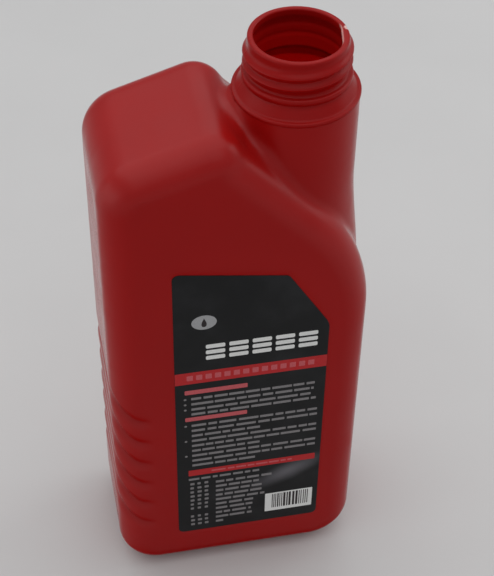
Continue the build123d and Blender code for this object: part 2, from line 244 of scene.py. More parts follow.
@dataclass
class CanForm:
    """Distance field of the blown can up to the ring under its neck."""

    half_width: float = 50.8
    half_depth: float = 30.5
    edge_round: float = 11.5
    base_left: float = 17.0
    base_right: float = 19.0
    top_left_height: float = 216.4
    top_rise: float = 18.0
    top_corner: float = 17.0
    peak_x: float = -4.4
    peak_round: float = 12.0
    steep_slope: float = 57.0
    steep_end_x: float = 2.4
    long_slope: float = 46.5
    slope_blend: float = 22.0
    hip_round: float = 76.0
    neck_x: float = 24.2
    tower_radius: float = 22.7
    tower_fillet: float = 3.5
    ledge_height: float = 229.3     # under the ring nothing but the tower goes on up from here
    ledge_round: float = 0.4
    ledge_gap: float = 0.25
    skirt_top: float = 196.0
    skirt_foot: float = 146.0
    skirt_radius: float = 26.4
    skirt_overlap: float = 8.0
    grip_top: float = 107.0
    grip_pitch: float = 12.95
    grip_count: int = 6
    grip_depth: float = 1.3
    grip_end_x: float = -34.5
    grip_ahead: float = 30.0        # what the front's part of a groove adds to its path, after 90 degrees
    grip_inside: float = 0.6        # share of a groove's depth that the inner wall follows
    grip_path: tuple[float, ...] = (0, 26, 52, 78, 102, 120)
    grip_droop: tuple[float, ...] = (0, 1.5, 5.9, 9.4, 10.6, 11.6)
    grip_lift: tuple[float, ...] = (0, 0.02, 0.08, 0.3, 0.7, 1.15)
    grip_spread: float = 2.5        # half width of a groove, which swells out into the rounded rib
    grip_crest: float = 0.56        # share of the pitch from a groove down to the crest of the rib under it
    grip_thin: float = 0.4          # share of its width that a groove loses as it fades out
    push_up: float = 2.6
    push_up_length: float = 56.0
    push_up_width: float = 27.0
    push_up_corner: float = 8.0
    push_up_round: float = 2.5
    push_up_blend: float = 1.2
    push_up_inside: float = 1.5
    pinch_length: float = 42.0
    pinch_height: float = 0.8
    pinch_width: float = 0.75
    pinch_fade: float = 2.0
    seat_depth: float = 0.18
    seat_margin: float = 1.3
    seat_flat: float = 0.3          # the seat is level up to this distance outside the film
    seat_back: float = -20.0        # it is cut only into what lies before this place on Y
    wall: float = 1.0
    label: Outline | None = None

    def __post_init__(self) -> None:
        """Set out the front outline and the path of the grooves."""

        def climb(start: float, run: float, slope: float) -> float:
            """Height after a run at a slope in degrees."""
            return start + run * math.tan(math.radians(slope))

        peak_z = climb(self.top_left_height, self.peak_x + self.half_width, self.top_rise)
        bend_z = climb(peak_z, self.steep_end_x - self.peak_x, -self.steep_slope)
        hip_z = climb(bend_z, self.half_width - self.steep_end_x, -self.long_slope)
        self.outline = Outline((
            (-self.half_width, 0, self.base_left),
            (self.half_width, 0, self.base_right),
            (self.half_width, hip_z, self.hip_round),
            (self.steep_end_x, bend_z, self.slope_blend),
            (self.peak_x, peak_z, self.peak_round),
            (-self.half_width, self.top_left_height, self.top_corner),
        ))
        self.droop = softened(self.grip_path, self.grip_droop, 12)
        self.lift = softened(self.grip_path, self.grip_lift, 8)

    def body(self, x: Array, y: Array, z: Array) -> tuple[Array, Array, Array]:
        """Body without its tower.

        Args:
            x, y, z: places that fit each other.

        Returns:
            Distance, and the X and Y parts of the outward direction.
        """
        flat, out_x, _ = self.outline.distance(x, z)
        across = flat + self.edge_round
        deep = np.abs(y) - (self.half_depth - self.edge_round)
        corner = np.hypot(np.maximum(across, 0), np.maximum(deep, 0))
        past, length = corner > TINY, np.maximum(corner, TINY)
        share = np.where(past, np.maximum(across, 0) / length, across > deep)
        part_y = np.where(past, np.maximum(deep, 0) / length, across <= deep)
        return rounded(across, deep, self.edge_round), share * out_x, part_y * np.sign(y)

    def tower(self, x: Array, y: Array, z: Array) -> tuple[Array, Array, Array]:
        """Round tower with its widening skirt.

        Args:
            x, y, z: places that fit each other.

        Returns:
            Distance, and the X and Y parts of the outward direction.
        """
        px = x - self.neck_x
        away = np.maximum(np.hypot(px, y), TINY)
        rise = (z - self.skirt_foot) / (self.skirt_top - self.skirt_foot)
        radius = self.skirt_radius + (self.tower_radius - self.skirt_radius) * ease(rise)
        gap = np.maximum(away - radius, self.skirt_foot - self.skirt_overlap - z)
        return gap, px / away, y / away

    def grip(self, x: Array, y: Array, z: Array) -> Array:
        """Depth of the finger grooves, which droop as they run round the corner.

        Args:
            x, y, z: places that fit each other.

        Returns:
            Depths, 0 outside the grooves.
        """
        corner_x = -self.half_width + self.edge_round
        beside = np.maximum(np.abs(y) - (self.half_depth - self.edge_round), 0)
        before = corner_x - x
        angle = np.degrees(np.arctan2(beside, np.maximum(before, TINY)))
        run = np.maximum(-before, 0) / (self.grip_end_x - corner_x)
        path = np.where(before > 0, angle, 90 + self.grip_ahead * run)
        below = (self.grip_top - z - self.droop(path)) / self.grip_pitch
        last = self.grip_count - 1 + self.grip_crest
        held = (below > self.grip_crest - 1) & (below < last) & (x < 0)
        skew = math.log(0.5) / math.log(self.grip_crest)
        near = self.grip_pitch * (0.5 - np.abs((below % 1.0) ** skew - 0.5))
        left = np.maximum(1 - self.lift(path), 0)
        spread = self.grip_spread * (1 - self.grip_thin + self.grip_thin * left)
        return np.where(held, self.grip_depth * left * np.exp(-((near / spread) ** 2)), 0)

    def pad(self, x: Array, y: Array, z: Array) -> Array:
        """Raised pad that makes the hollow under the base, with the weld line across it.

        Args:
            x, y, z: places that fit each other.

        Returns:
            Signed distances to the pad.
        """
        corner = self.push_up_corner
        px = np.abs(x) - (self.push_up_length / 2 - corner)
        py = np.abs(y) - (self.push_up_width / 2 - corner)
        flat = rounded(px, py, corner)
        ends = ease((self.pinch_length / 2 - np.abs(x)) / self.pinch_fade)
        roof = self.push_up - self.pinch_height * np.exp(-((y / self.pinch_width) ** 2)) * ends
        return rounded(flat + self.push_up_round, z - roof + self.push_up_round, self.push_up_round)

    def seat(self, x: Array, y: Array, z: Array) -> Array:
        """Depth of the shallow seat that the film label lies in."""
        edge, _, _ = self.label.distance(x, z)
        full = ease((self.seat_margin - edge) / (self.seat_margin - self.seat_flat))
        return self.seat_depth * full * (y < self.seat_back)

    def shell(self, x: Array, y: Array, z: Array) -> Array:
        """Body and tower in one, without grooves, seat or base.

        Args:
            x, y, z: places that fit each other.

        Returns:
            Signed distances.
        """
        body, body_x, body_y = self.body(x, y, z)
        tower, tower_x, tower_y = self.tower(x, y, z)
        cosine = body_x * tower_x + body_y * tower_y
        joined = hollow_round(body, tower, cosine, self.tower_fillet)
        ledge = np.minimum(z - self.ledge_height, tower - self.ledge_gap)
        return soft_max(joined, ledge, self.ledge_round)

    def outside(self, x: Array, y: Array, z: Array) -> Array:
        """Signed distance to the outside of the can."""
        plain = self.shell(x, y, z) + self.grip(x, y, z) + self.seat(x, y, z)
        return soft_max(plain, -self.pad(x, y, z), self.push_up_blend)

    def inside(self, x: Array, y: Array, z: Array) -> Array:
        """Signed distance to the room in the can, positive in the room."""
        room = self.shell(x, y, z) + self.wall + self.grip_inside * self.grip(x, y, z)
        return -soft_max(room, self.wall - self.pad(x, y, z), self.push_up_inside)


@dataclass
class NeckForm:
    """Distance field of the screw neck above the ring."""

    neck_x: float = 24.2
    height: float = 252.0
    lip_radius: float = 17.7
    lip_round: float = 0.75
    bore_radius: float = 15.6
    throat_radius: float = 16.3
    bore_length: float = 2.4
    bore_run: float = 2.2           # height over which the throat narrows to the bore
    tower_bore: float = 21.5
    ring_radius: float = 23.05
    ring_low: float = 229.1
    ring_high: float = 230.9
    ring_round: float = 0.65
    collar_radius: float = 21.6
    bead_radius: float = 19.7
    bead_low: float = 235.8
    bead_high: float = 238.2
    bead_round: float = 0.85
    thread_radius: float = 19.45
    thread_pitch: float = 4.23
    thread_turns: float = 2.05
    thread_start: float = 239.6
    thread_start_turn: float = 30.0
    thread_root: float = 1.6
    thread_crest: float = 0.55
    thread_soft: float = 1.5
    flash_angle: float = -10.0
    flash_chord: float = 14.8
    nick_angle: float = 4.0
    nick_radius: float = 0.95
    tower_join: float = 3.0         # how far the bore starts under the ring
    throat_start: float = 0.3       # height above the ring's underside where the throat starts to narrow
    cone_overlap: float = 0.4
    swell: float = 0.35             # the throat swells out behind the thread
    swell_half: float = 1.3
    throat_blur: float = 0.5
    lip_reserve: float = 0.9
    thread_fade: float = 0.16       # share of a turn over which the thread thins out
    thread_stub: float = 0.2        # part of that fade which its blunt ends leave out
    thread_foot: float = 0.3
    thread_blend: float = 1.1
    bead_blend: float = 1.2
    cone_blend: float = 0.9
    ring_blend: float = 0.5
    bore_slope: float = 0.85        # keeps the bore's field no steeper than a distance
    bore_blend: float = 0.7
    flash_thick: float = 0.9
    flash_root: float = 0.6
    flash_blend: float = 0.3
    nick_rise: float = 0.1
    nick_blend: float = 0.2

    def __post_init__(self) -> None:
        """Set out the throat, with a shallow ring behind each turn of the thread."""
        low = self.ring_low
        stations = [low - self.tower_join, low + self.throat_start, self.bead_low + self.cone_overlap]
        radii = [self.tower_bore, self.tower_bore, self.throat_radius]
        for k in range(2):
            middle = self.thread_start + (k + 0.5) * self.thread_pitch
            stations += [middle - self.swell_half, middle, middle + self.swell_half]
            radii += [self.throat_radius, self.throat_radius + self.swell, self.throat_radius]
        narrow = self.height - self.bore_length
        stations += [narrow - self.bore_run, narrow, self.height + 2]
        radii += [self.throat_radius, self.bore_radius, self.bore_radius]
        self.throat = softened(stations, radii, self.throat_blur)

    def band(self, away: Array, z: Array, radius: float, low: float, high: float, edge: float) -> Array:
        """Round band between two heights.

        Args:
            away: distances from the neck's axis.
            z: heights.
            radius: outer radius of the band.
            low: height of its underside.
            high: height of its top.
            edge: round of its two outer edges.

        Returns:
            Signed distances to the band.
        """
        up = np.abs(z - (low + high) / 2) - (high - low) / 2 + edge
        return rounded(away - radius + edge, up, edge)

    def thread(self, away: Array, angle: Array, z: Array) -> Array:
        """Soft thread, which thins out at both ends.

        Args:
            away: distances from the neck's axis.
            angle: headings about the axis, in degrees.
            z: heights.

        Returns:
            Signed distances to the thread.
        """
        turn = ((angle - self.thread_start_turn) / 360) % 1.0
        nothing = 9.0
        best = np.full(np.broadcast_shapes(away.shape, z.shape), nothing)
        height = self.thread_radius - self.lip_radius
        flank = math.hypot(self.thread_root - self.thread_crest, height)
        out = (self.thread_root - self.thread_crest) / flank
        up = height / flank
        for k in range(-1, int(self.thread_turns) + 2):
            wound = turn + k
            off = np.abs(z - self.thread_start - self.thread_pitch * wound)
            full = ease(wound / self.thread_fade + self.thread_stub)
            full = full * ease((self.thread_turns - wound) / self.thread_fade + self.thread_stub)
            crest = away - (self.lip_radius - self.thread_foot) - (height + self.thread_foot) * full
            side = (away - self.lip_radius) * out + (off - self.thread_root) * up
            wound_on = soft_max(crest, side, self.thread_blend)
            best = np.minimum(best, np.where(full > 0, wound_on, nothing))
        return best

    def flash(self, px: Array, y: Array, z: Array, away: Array) -> Array:
        """Sliver of trimmed plastic that stands into the bore at the lip.

        Args:
            px: places along X from the neck's axis.
            y: places along Y.
            z: heights.
            away: distances from the axis.

        Returns:
            Signed distances to the sliver.
        """
        heading = math.radians(self.flash_angle)
        chord = self.flash_chord - (px * math.cos(heading) + y * math.sin(heading))
        half = self.flash_thick / 2
        level = np.abs(z - self.height + half) - half
        return np.maximum(np.maximum(chord, away - self.bore_radius - self.flash_root), level)

    def outside(self, x: Array, y: Array, z: Array) -> Array:
        """The whole neck.

        Args:
            x, y, z: places that fit each other.

        Returns:
            Signed distances to the neck.
        """
        px = x - self.neck_x
        away = np.hypot(px, y)
        angle = np.degrees(np.arctan2(y, px))
        wall = self.band(away, z, self.lip_radius, self.ring_low - 20, self.height, self.lip_round)
        bead = self.band(away, z, self.bead_radius, self.bead_low, self.bead_high, self.bead_round)
        ring = self.band(away, z, self.ring_radius, self.ring_low, self.ring_high, self.ring_round)
        run = self.collar_radius - self.lip_radius - self.lip_reserve
        rise = self.bead_low - self.ring_high
        slant = math.hypot(run, rise)
        cone = (away - self.collar_radius) * rise / slant + (z - self.ring_high) * run / slant
        cone = np.maximum(cone, z - self.bead_low - self.cone_overlap)
        solid = soft_min(wall, bead, self.bead_blend)
        solid = soft_min(solid, self.thread(away, angle, z), self.thread_soft)
        solid = soft_min(soft_min(solid, cone, self.cone_blend), ring, self.ring_blend)
        bore = (self.throat(z) - away) * self.bore_slope
        solid = np.maximum(soft_max(solid, bore, self.bore_blend), self.ring_low - z)
        solid = soft_min(solid, self.flash(px, y, z, away), self.flash_blend)
        heading = math.radians(self.nick_angle)
        nick_x, nick_y = self.lip_radius * math.cos(heading), self.lip_radius * math.sin(heading)
        nick = np.sqrt((px - nick_x) ** 2 + (y - nick_y) ** 2 + (z - self.height - self.nick_rise) ** 2)
        return np.maximum(soft_max(solid, self.nick_radius - nick, self.nick_blend), z - self.height)


def skin(form: Field, low: Sequence[float], high: Sequence[float], cell: float) -> tuple[Array, Array]:
    """Mesh the zero surface of a distance field with even four-sided faces.

    Args:
        form: signed distance field, negative inside.
        low: lowest corner of the grid.
        high: highest corner of the grid; the surface stays open where it leaves the grid.
        cell: size of a grid cell.

    Returns:
        Points, and faces as rows of four point numbers.
    """
    axes = [np.arange(a, b + cell / 2, cell) for a, b in zip(low, high)]
    grid = form(axes[0][:, None, None], axes[1][None, :, None], axes[2][None, None, :])
    full = grid < 0
    cells = tuple(n - 1 for n in grid.shape)

    def corner(values: Array, i: int, j: int, k: int) -> Array:
        """Value of the grid at one corner of every cell."""
        return values[i:i + cells[0], j:j + cells[1], k:k + cells[2]]

    total = sum(corner(full, i, j, k).astype(np.int8) for i in (0, 1) for j in (0, 1) for k in (0, 1))
    used = (total > 0) & (total < 8)
    number = np.full(cells, -1)
    number[used] = np.arange(int(used.sum()))
    place, hits = np.zeros((int(used.sum()), 3)), np.zeros(int(used.sum()))
    for axis in range(3):
        for i in (0, 1):
            for j in (0, 1):
                start = [i, j]
                start.insert(axis, 0)
                end = list(start)
                end[axis] = 1
                a, b = corner(grid, *start)[used], corner(grid, *end)[used]
                crossed = (a < 0) != (b < 0)
                part = np.where(crossed, a / np.where(crossed, a - b, 1), 0)
                spot = np.tile(np.array(start, float), (len(a), 1))
                spot[:, axis] = part
                place[crossed] += spot[crossed]
                hits += crossed
    base = np.stack([axes[n][index] for n, index in enumerate(np.nonzero(used))], axis=1)
    points = settle(form, base + cell * place / hits[:, None], cell)
    faces = []
    for axis in range(3):
        first, second = [n for n in range(3) if n != axis]
        here = [slice(1, -1)] * 3
        here[axis] = slice(0, -1)
        ahead = list(here)
        ahead[axis] = slice(1, None)
        a, b = full[tuple(here)], full[tuple(ahead)]
        spots = np.stack(np.nonzero(a != b), axis=1)
        spots[:, first] += 1
        spots[:, second] += 1
        rows = []
        for i, j in ((1, 1), (0, 1), (0, 0), (1, 0)):
            shift = np.zeros(3, int)
            shift[first], shift[second] = i, j
            rows.append(number[tuple((spots - shift).T)])
        rows = np.stack(rows, axis=1)
        flip = (~a[a != b]) ^ (axis == 1)
        rows[flip] = rows[flip][:, ::-1]
        faces.append(rows)
    return points, np.concatenate(faces)


def settle(form: Field, points: Array, cell: float) -> Array:
    """Move points along the field until they lie on its zero surface.

    Args:
        form: signed distance field.
        points: places near the surface.
        cell: size of a grid cell, of which a point moves half at most in one step.

    Returns:
        The moved points.
    """
    step, rounds, least_slope = 0.02, 4, 0.05
    for _ in range(rounds):
        gap = form(*points.T)
        slope = np.zeros_like(points)
        for axis in range(3):
            shift = np.zeros(3)
            shift[axis] = step
            slope[:, axis] = (form(*(points + shift).T) - form(*(points - shift).T)) / (2 * step)
        size = np.maximum((slope**2).sum(axis=1), least_slope)
        move = -slope * (gap / size)[:, None]
        length = np.linalg.norm(move, axis=1)
        points = points + move * np.minimum(1, 0.5 * cell / np.maximum(length, TINY))[:, None]
    return points


def make_piece(
    name: str,
    points: Iterable[Sequence[float]],
    faces: Iterable[Sequence[int]],
    smooth: bool,
) -> Piece:
    """Make a mesh object.

    Args:
        name: name of the piece.
        points: places in millimetres.
        faces: rows of point numbers.
        smooth: whether its faces are shaded as one curved surface.

    Returns:
        The new object, linked to the scene.
    """
    mesh = bpy.data.meshes.new(name)
    mesh.from_pydata((np.asarray(points) * MM).tolist(), [], [list(map(int, row)) for row in faces])
    mesh.validate()
    mesh.shade_smooth() if smooth else mesh.shade_flat()
    piece = bpy.data.objects.new(name, mesh)
    bpy.context.scene.collection.objects.link(piece)
    return piece


@dataclass
class NodeBench:
    """Short way to add and join the shader nodes of one material."""

    name: str

    def __post_init__(self) -> None:
        """Start the material with an empty principled surface."""
        self.material = bpy.data.materials.new(self.name)
        self.material.use_nodes = True
        self.tree = self.material.node_tree
        self.surface = self.tree.nodes["Principled BSDF"]
        self.place = self.add("ShaderNodeTexCoord").outputs["Object"]

    def add(self, kind: str, settings: dict | None = None, **inputs: object) -> bpy.types.Node:
        """Add a node.

        Args:
            kind: Blender's name of the node type.
            settings: values of the node's own properties.
            inputs: value or link for each input, named with underscores.

        Returns:
            The new node.
        """
        node = self.tree.nodes.new(kind)
        for key, value in (settings or {}).items():
            setattr(node, key, value)
        for key, value in inputs.items():
            numbered = key[0] == "n" and key[1:].isdigit()
            self.give(node.inputs[int(key[1:]) if numbered else key.replace("_", " ")], value)
        return node

    def give(self, socket: Socket, value: object) -> None:
        """Link an input where the value is a link's end, or else set it."""
        if isinstance(value, Socket):
            self.tree.links.new(value, socket)
        else:
            socket.default_value = value

    def noise(self, scale: float, detail: float = 3.0, rough: float = 0.55, place: object = None) -> Socket:
        """Noise over the object, with its scale in waves per metre."""
        inputs = {"Vector": place or self.place, "Scale": scale, "Detail": detail, "Roughness": rough}
        return self.add("ShaderNodeTexNoise", **inputs).outputs["Fac"]

    def part(self, axis: str, vector: object = None) -> Socket:
        """One part, X, Y or Z, of a vector or else of the place on the object."""
        return self.add("ShaderNodeSeparateXYZ", Vector=vector or self.place).outputs[axis]

    def spread(self, value: object, low: float, high: float, to_low: float, to_high: float) -> Socket:
        """Map a value from one range to another with soft ends.

        Args:
            value: what is mapped.
            low: start of its range.
            high: end of its range.
            to_low: result at the start.
            to_high: result at the end.

        Returns:
            The result.
        """
        settings = {"interpolation_type": "SMOOTHSTEP"}
        node = self.add("ShaderNodeMapRange", settings, Value=value, From_Min=low, From_Max=high)
        node.inputs["To Min"].default_value, node.inputs["To Max"].default_value = to_low, to_high
        return node.outputs["Result"]

    def calc(self, operation: str, first: object, second: object = 0.0) -> Socket:
        """One sum of two numbers."""
        return self.add("ShaderNodeMath", {"operation": operation}, n0=first, n1=second).outputs[0]

    def blend(self, share: object, under: object, over: object) -> Socket:
        """Mix two colours by a share."""
        return self.add("ShaderNodeMix", {"data_type": "RGBA"}, n0=share, n6=under, n7=over).outputs[2]

    def away_from(self, spot: Sequence[float], place: object = None) -> Socket:
        """Distance from a place on the object.

        Args:
            spot: the place, in millimetres.
            place: vector that is measured instead of the place on the object.

        Returns:
            The distance in millimetres.
        """
        settings = {"operation": "SCALE"}
        scaled = self.add("ShaderNodeVectorMath", settings, n0=place or self.place, Scale=1000.0).outputs[0]
        settings = {"operation": "DISTANCE"}
        return self.add("ShaderNodeVectorMath", settings, n0=scaled, n1=tuple(spot)).outputs["Value"]

    def bump(self, height: object, depth: float, before: object = None) -> Socket:
        """Bump of the surface.

        Args:
            height: relief between 0 and 1.
            depth: its depth in metres.
            before: bump that this one is laid over.

        Returns:
            The bent normal.
        """
        node = self.add("ShaderNodeBump", Strength=1.0, Distance=depth, Height=height)
        if before is not None:
            self.tree.links.new(before, node.inputs["Normal"])
        return node.outputs["Normal"]

    def join(self, **inputs: object) -> None:
        """Set or link the surface's own inputs, named with underscores."""
        for key, value in inputs.items():
            self.give(self.surface.inputs[key.replace("_", " ")], value)


@dataclass(frozen=True)
class BlownPlastic:
    """Red blow-moulded polyethylene: soft gloss, fine orange peel, a mould seam, light scuffs, painted
    shade in the finger grooves and a painted glow on the inner wall and in the throat.
    """

    name: str
    colour: Colour = (0.345, 0.0035, 0.003, 1)
    pale: Colour = (0.385, 0.005, 0.0045, 1)
    scuffed: Colour = (0.42, 0.03, 0.027, 1)
    chip: Colour = (0.85, 0.55, 0.50, 1)
    # painted glow: brighter red of the inner wall and the throat, for light that comes through the thin
    # plastic
    inner: Colour = (0.92, 0.006, 0.004, 1)
    # painted shade: dark colour laid into the finger grooves for the shade that falls in them
    groove_shade: Colour = (0.05, 0.001, 0.001, 1)
    cloud_scale: float = 22
    cloud_range: Point = (0.35, 0.7)
    cloud_share: float = 0.35
    streak_scale: float = 2600
    streak_range: Point = (0.62, 0.72)
    streak_squash: float = 0.12     # streaks run on along the can's height
    patch_scale: float = 60
    patch_range: Point = (0.55, 0.7)
    scuff_share: float = 0.30
    scuff_rough: float = 0.06
    peel_scale: float = 1500
    peel_depth: float = 0.000003
    wave_scale: float = 26
    wave_depth: float = 0.00016
    seam_width: float = 0.0005
    seam_depth: float = 0.00001
    rough_scale: float = 90
    rough: Point = (0.33, 0.41)
    rough_edge: float = 0.14        # less rough by this where the surface turns away
    rough_turn: Point = (0.7, 1.0)
    gloss: float = 0.16
    edge_gloss: float = 0.85
    gloss_turn: Point = (0.68, 1.0)
    under_gloss: float = 0.04       # shares of the gloss that undersides and tops keep
    upper_gloss: float = 1.8
    under_range: Point = (-0.25, 0.35)
    # share of the painted groove shade at a groove's full depth
    groove_shade_share: float = 0.20
    refraction: float = 1.52
    glow: Point = (0.20, 0.002)     # share and reach of the light that passes under the surface
    glow_radius: Spot = (1.0, 0.08, 0.06)
    lit_through: bool = False       # the inner wall, painted brighter as a glow for the light that comes through the thin plastic
    lit_share: Point = (0.88, 1.0)
    chip_spot: Spot | None = None   # only the neck has a chip, a throat and a sliver
    chip_grain: float = 1.2
    chip_fade: Point = (1.35, 2.3)
    bore_x: float = 24.2
    bore_fade: Point = (16.8, 17.2)         # distances from the axis where the throat's painted glow ends
    # painted glow in the throat: heights over which it grows and its greatest share
    throat_glow: Spot = (0.234, 0.2505, 0.5)
    throat_foot: Spot = (0.233, 0.236, 0.5)     # below its second height the throat widens
    throat_rate: float = 700.0
    flash_angle: float = -10.0
    flash_edge: float = 14.9
    flash_share: float = 0.45
    flash_reach: Point = (15.5, 16.1)
    flash_width: Point = (0.0002, 0.0007)
    flash_height: Point = (0.2507, 0.2513)

    def make(self) -> bpy.types.Material:
        """Build the material.

        Returns:
            The material.
        """
        bench = NodeBench(self.name)
        cloud = bench.noise(self.cloud_scale, 2)
        clouds = bench.spread(cloud, *self.cloud_range, 0, self.cloud_share)
        colour = bench.blend(clouds, self.colour, self.pale)
        long_way = bench.add("ShaderNodeMapping", Vector=bench.place, Scale=(1.0, 1.0, self.streak_squash))
        streaks = bench.noise(self.streak_scale, 4, 0.7, long_way.outputs[0])
        patches = bench.spread(bench.noise(self.patch_scale, 3), *self.patch_range, 0, self.scuff_share)
        scuffs = bench.calc("MULTIPLY", bench.spread(streaks, *self.streak_range, 0, 1), patches)
        colour = bench.blend(scuffs, colour, self.scuffed)
        # Painted glow: the inner wall takes the brighter inner colour almost everywhere.
        if self.lit_through:
            lit = bench.spread(cloud, *self.cloud_range, *self.lit_share)
            colour = bench.blend(lit, colour, self.inner)
        else:
            # Painted shade: the deeper the finger groove, the darker the colour, for the shade that falls
            # in it.
            groove = bench.add("ShaderNodeAttribute", {"attribute_name": GROOVE}).outputs["Fac"]
            colour = bench.blend(bench.calc("MULTIPLY", groove, self.groove_shade_share), colour, self.groove_shade)
        if self.chip_spot:
            colour = self.throat(bench, colour)
        facing = bench.add("ShaderNodeLayerWeight", Blend=0.5).outputs["Facing"]
        rough = bench.spread(bench.noise(self.rough_scale, 3), *MIDDLING, *self.rough)
        rough = bench.calc("ADD", rough, bench.calc("MULTIPLY", scuffs, self.scuff_rough))
        rough = bench.calc("SUBTRACT", rough, bench.spread(facing, *self.rough_turn, 0, self.rough_edge))
        shine = self.shine(bench, facing)
        bench.join(Base_Color=colour, Roughness=rough, Normal=self.relief(bench), IOR=self.refraction)
        bench.join(Subsurface_Weight=self.glow[0], Subsurface_Scale=self.glow[1], Specular_IOR_Level=shine)
        bench.join(Subsurface_Radius=self.glow_radius)
        return bench.material

    def relief(self, bench: NodeBench) -> Socket:
        """Orange peel, long waves and the seam of the mould.

        Args:
            bench: the material's bench.

        Returns:
            The bent normal.
        """
        seam = bench.spread(bench.calc("ABSOLUTE", bench.part("Y")), 0.0, self.seam_width, 1, 0)
        peel = bench.bump(bench.noise(self.peel_scale, 2), self.peel_depth)
        waves = bench.bump(bench.noise(self.wave_scale, 1), self.wave_depth, peel)
        return bench.bump(seam, self.seam_depth, waves)

    def shine(self, bench: NodeBench, facing: Socket) -> Socket:
        """Gloss, which grows where the surface turns away and fades on undersides.

        Args:
            bench: the material's bench.
            facing: 0 where the surface faces the viewer, 1 where it turns away.

        Returns:
            The gloss.
        """
        upward = bench.part("Z", bench.add("ShaderNodeNewGeometry").outputs["Normal"])
        dull = bench.spread(upward, *self.under_range, self.under_gloss, self.upper_gloss)
        turned = bench.spread(facing, *self.gloss_turn, self.gloss, self.edge_gloss)
        return bench.calc("MULTIPLY", turned, dull)

    def throat(self, bench: NodeBench, colour: Socket) -> Socket:
        """Painted glow of the neck's inside, and the colours of the sliver's pale edge and of the chip in
        the lip.

        Args:
            bench: the material's bench.
            colour: colour of the plain plastic.

        Returns:
            The colour with all three.
        """
        # Painted glow: the throat's inside takes the brighter inner colour, more of it deeper down.
        level = bench.add("ShaderNodeMapping", Vector=bench.place, Scale=(1.0, 1.0, 0.0)).outputs[0]
        away = bench.away_from((self.bore_x, 0, 0), level)
        height = bench.part("Z")
        low, high, share = self.throat_foot
        widened = bench.calc("MAXIMUM", bench.calc("SUBTRACT", high, height), 0.0)
        widened = bench.calc("SUBTRACT", away, bench.calc("MULTIPLY", widened, self.throat_rate))
        within = bench.spread(widened, *self.bore_fade, 1, 0)
        foot = bench.spread(height, low, high, share, 0)
        low, high, share = self.throat_glow
        deeper = bench.calc("ADD", bench.spread(height, low, high, share, 0), foot)
        colour = bench.blend(bench.calc("MULTIPLY", within, deeper), colour, self.inner)
        heading = math.radians(self.flash_angle)
        towards = (math.cos(heading), math.sin(heading), 0)
        settings = {"operation": "DOT_PRODUCT"}
        edge = bench.add("ShaderNodeVectorMath", settings, n0=bench.place, n1=towards).outputs["Value"]
        edge = bench.calc("SUBTRACT", edge, MM * (self.bore_x * towards[0] + self.flash_edge))
        edge = bench.spread(bench.calc("ABSOLUTE", edge), *self.flash_width, self.flash_share, 0)
        edge = bench.calc("MULTIPLY", edge, bench.spread(height, *self.flash_height, 0, 1))
        edge = bench.calc("MULTIPLY", edge, bench.spread(away, *self.flash_reach, 1, 0))
        colour = bench.blend(edge, colour, self.chip)
        ragged = bench.calc("MULTIPLY", bench.noise(self.peel_scale, 3), self.chip_grain)
        near = bench.calc("ADD", bench.away_from(self.chip_spot), ragged)
        return bench.blend(bench.spread(near, *self.chip_fade, 1, 0), colour, self.chip)


@dataclass(frozen=True)
class LabelFilm:
    """Black printed film: satin, dusted, with a painted sheen streak low on the right."""

    name: str = "label_film_black"
    colour: Colour = (0.0075, 0.0078, 0.0085, 1)
    dust: Colour = (0.10, 0.10, 0.11, 1)
    dust_scale: float = 45
    dust_range: Point = (0.45, 0.8)
    dust_share: float = 0.12
    # painted sheen: pale grey streak low on the right that stands in for a reflection on the film; the film
    # is also rougher there
    sheen_colour: Colour = (0.20, 0.19, 0.21, 1)
    sheen_spot: Spot = (21.0, -30.5, 54.0)
    sheen_lean: float = 26.0       # degrees that the painted sheen streak rises to the right
    sheen_stretch: float = 3.2     # how much longer it is than it is wide
    sheen_reach: Point = (0.6, 7.6)
    sheen_share: float = 0.66
    sheen_rough: float = 0.1
    ragged_scale: float = 120
    ragged_depth: float = 1.6
    grain_scale: float = 1100
    grain_depth: float = 0.000012
    wave_scale: float = 30
    wave_depth: float = 0.00020
    rough_scale: float = 160
    rough: Point = (0.30, 0.40)
    refraction: float = 1.5
    gloss: float = 0.16

    def painted_sheen(self, bench: NodeBench) -> Socket:
        """Share of the painted sheen streak in the film's colour.

        Args:
            bench: the material's bench.

        Returns:
            The share.
        """
        along = bench.add("ShaderNodeMapping", {"vector_type": "TEXTURE"}, Vector=bench.place)
        along.inputs["Location"].default_value = tuple(MM * part for part in self.sheen_spot)
        along.inputs["Rotation"].default_value = (0, -math.radians(self.sheen_lean), 0)
        along.inputs["Scale"].default_value = (self.sheen_stretch, 1, 1)
        ragged = bench.calc("MULTIPLY", bench.noise(self.ragged_scale, 3), self.ragged_depth)
        away = bench.calc("ADD", bench.away_from((0, 0, 0), along.outputs[0]), ragged)
        return bench.spread(away, *self.sheen_reach, self.sheen_share, 0)

    def make(self) -> bpy.types.Material:
        """Build the material.

        Returns:
            The material.
        """
        bench = NodeBench(self.name)
        cloud = bench.spread(bench.noise(self.dust_scale, 4), *self.dust_range, 0, self.dust_share)
        # Painted sheen streak, mixed into the film's colour.
        painted_sheen = self.painted_sheen(bench)
        colour = bench.blend(painted_sheen, bench.blend(cloud, self.colour, self.dust), self.sheen_colour)
        normal = bench.bump(bench.noise(self.grain_scale, 2), self.grain_depth)
        normal = bench.bump(bench.noise(self.wave_scale, 1), self.wave_depth, normal)
        rough = bench.spread(bench.noise(self.rough_scale, 3), *MIDDLING, *self.rough)
        rough = bench.calc("ADD", rough, bench.calc("MULTIPLY", painted_sheen, self.sheen_rough))
        bench.join(Base_Color=colour, Roughness=rough, Normal=normal)
        bench.join(IOR=self.refraction, Specular_IOR_Level=self.gloss)
        return bench.material


@dataclass(frozen=True)
class InkFinish:
    """How every ink lies on the dark film: mottled, satin to dull."""

    thin: float = 0.55              # share of its colour that the ink has where it lies thin
    mottle_scale: float = 1900
    mottle_range: Point = (0.35, 0.65)
    rough_scale: float = 300
    rough: Point = (0.36, 0.48)
    gloss: float = 0.2


